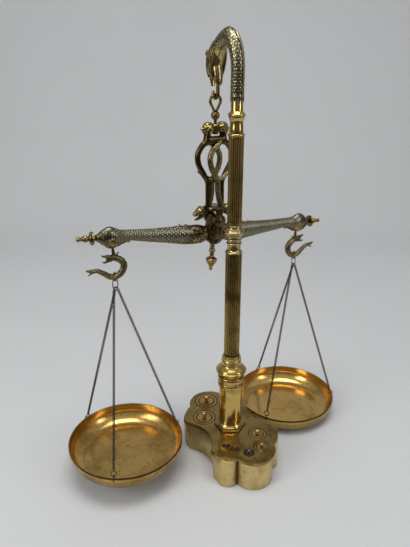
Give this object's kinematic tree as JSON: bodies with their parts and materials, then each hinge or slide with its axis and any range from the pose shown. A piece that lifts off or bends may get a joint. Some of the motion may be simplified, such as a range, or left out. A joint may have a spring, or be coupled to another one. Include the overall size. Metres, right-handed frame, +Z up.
{
  "type": "apothecary scale",
  "caption": "Brass apothecary balance: serpent column with a hook, lyre shackle, dragon beam, snake hooks, chained pans and a lobed base with lift-out weights.",
  "frame": {"origin": "centre of the column on the underside of the base", "axes": "+Z up the column; the beam runs along X in front of the column, on the -Y side"},
  "size_m": [0.4191, 0.207, 0.5465],
  "materials": {
    "base_brass": "satin",
    "plate_brass": "satin",
    "polished_brass": "polished",
    "column_brass": "satin",
    "cast_brass": "cast",
    "dark_brass": "aged",
    "steel": "machined",
    "hook_brass": "aged",
    "chain_metal": "aged",
    "pan_brass": "satin",
    "weight_brass": "turned",
    "small_weight_brass": "aged"
  },
  "bodies": {
    "stand": {"base_block": "base_brass", "base_plate": "plate_brass", "foot_plate": "plate_brass", "column_socket": "polished_brass", "column_crown": "polished_brass", "lower_column": "column_brass", "middle_collar": "polished_brass", "upper_column": "column_brass", "upper_collar": "polished_brass", "serpent_arm": "cast_brass", "mouth_hook": "dark_brass", "tie_rod": "steel", "tie_washer": "steel", "tie_nut": "steel"},
    "hanger": {"suspension_eye": "dark_brass"},
    "shackle": {"yoke": "dark_brass", "lyre": "dark_brass", "bearing_cap_front": "dark_brass", "bearing_cap_back": "dark_brass"},
    "beam": {"beam_hub": "cast_brass", "beam_arm_right": "cast_brass", "beam_arm_left": "cast_brass", "end_finial_right": "polished_brass", "end_finial_left": "polished_brass", "pivot_pin": "steel", "hook_pin_right": "steel", "hook_pin_left": "steel", "pointer": "polished_brass"},
    "hook_right": {"hook_right": "hook_brass"},
    "hook_left": {"hook_left": "hook_brass"},
    "pan_right": {"gather_ring_right": "chain_metal", "chain_right_1": "chain_metal", "chain_right_2": "chain_metal", "chain_right_3": "chain_metal", "bowl_right": "pan_brass"},
    "pan_left": {"gather_ring_left": "chain_metal", "chain_left_1": "chain_metal", "chain_left_2": "chain_metal", "chain_left_3": "chain_metal", "bowl_left": "pan_brass"},
    "weight_1": {"weight_1": "weight_brass"},
    "weight_2": {"weight_2": "weight_brass"},
    "weight_3": {"weight_3": "weight_brass"},
    "weight_4": {"weight_4": "weight_brass"},
    "weight_5": {"weight_5": "small_weight_brass"},
    "weight_6": {"weight_6": "small_weight_brass"},
    "weight_7": {"weight_7": "small_weight_brass"}
  },
  "joints": [
    {"name": "hanger_swing", "type": "hinge", "parent": "stand", "child": "hanger", "pos_m": [0, -0.045, 0.4797], "axis": [1, 0, 0], "range_deg": [-2.5, 2.5]},
    {"name": "shackle_swivel", "type": "hinge", "parent": "hanger", "child": "shackle", "pos_m": [0, -0.045, 0.441], "axis": [0, 0, 1], "range_deg": [-12, 12]},
    {"name": "beam_tilt", "type": "hinge", "parent": "shackle", "child": "beam", "pos_m": [0, -0.045, 0.331], "axis": [0, 1, 0], "range_deg": [0, 9.48]},
    {"name": "hook_right_plumb", "type": "hinge", "parent": "beam", "child": "hook_right", "pos_m": [0.13603, -0.045, 0.32422], "axis": [0, 1, 0], "range_deg": [-9.5, 0]},
    {"name": "pan_right_swing", "type": "hinge", "parent": "hook_right", "child": "pan_right", "pos_m": [0.13603, -0.045, 0.27607], "axis": [1, 0, 0], "range_deg": [-6, 6]},
    {"name": "hook_left_plumb", "type": "hinge", "parent": "beam", "child": "hook_left", "pos_m": [-0.13305, -0.045, 0.30191], "axis": [0, 1, 0], "range_deg": [-9.5, 0]},
    {"name": "pan_left_swing", "type": "hinge", "parent": "hook_left", "child": "pan_left", "pos_m": [-0.13305, -0.045, 0.25376], "axis": [1, 0, 0], "range_deg": [-6, 6]},
    {"name": "lift_weight_1", "type": "slide", "parent": "stand", "child": "weight_1", "axis": [0, 0, 1], "range_m": [0, 0.045]},
    {"name": "lift_weight_2", "type": "slide", "parent": "stand", "child": "weight_2", "axis": [0, 0, 1], "range_m": [0, 0.045]},
    {"name": "lift_weight_3", "type": "slide", "parent": "stand", "child": "weight_3", "axis": [0, 0, 1], "range_m": [0, 0.045]},
    {"name": "lift_weight_4", "type": "slide", "parent": "stand", "child": "weight_4", "axis": [0, 0, 1], "range_m": [0, 0.045]},
    {"name": "lift_weight_5", "type": "slide", "parent": "stand", "child": "weight_5", "axis": [0, 0, 1], "range_m": [0, 0.045]},
    {"name": "lift_weight_6", "type": "slide", "parent": "stand", "child": "weight_6", "axis": [0, 0, 1], "range_m": [0, 0.045]},
    {"name": "lift_weight_7", "type": "slide", "parent": "stand", "child": "weight_7", "axis": [0, 0, 1], "range_m": [0, 0.045]}
  ],
  "couplings": [
    {"joint": "hook_right_plumb", "follows": "beam_tilt", "ratio": -1},
    {"joint": "hook_left_plumb", "follows": "beam_tilt", "ratio": -1}
  ]
}
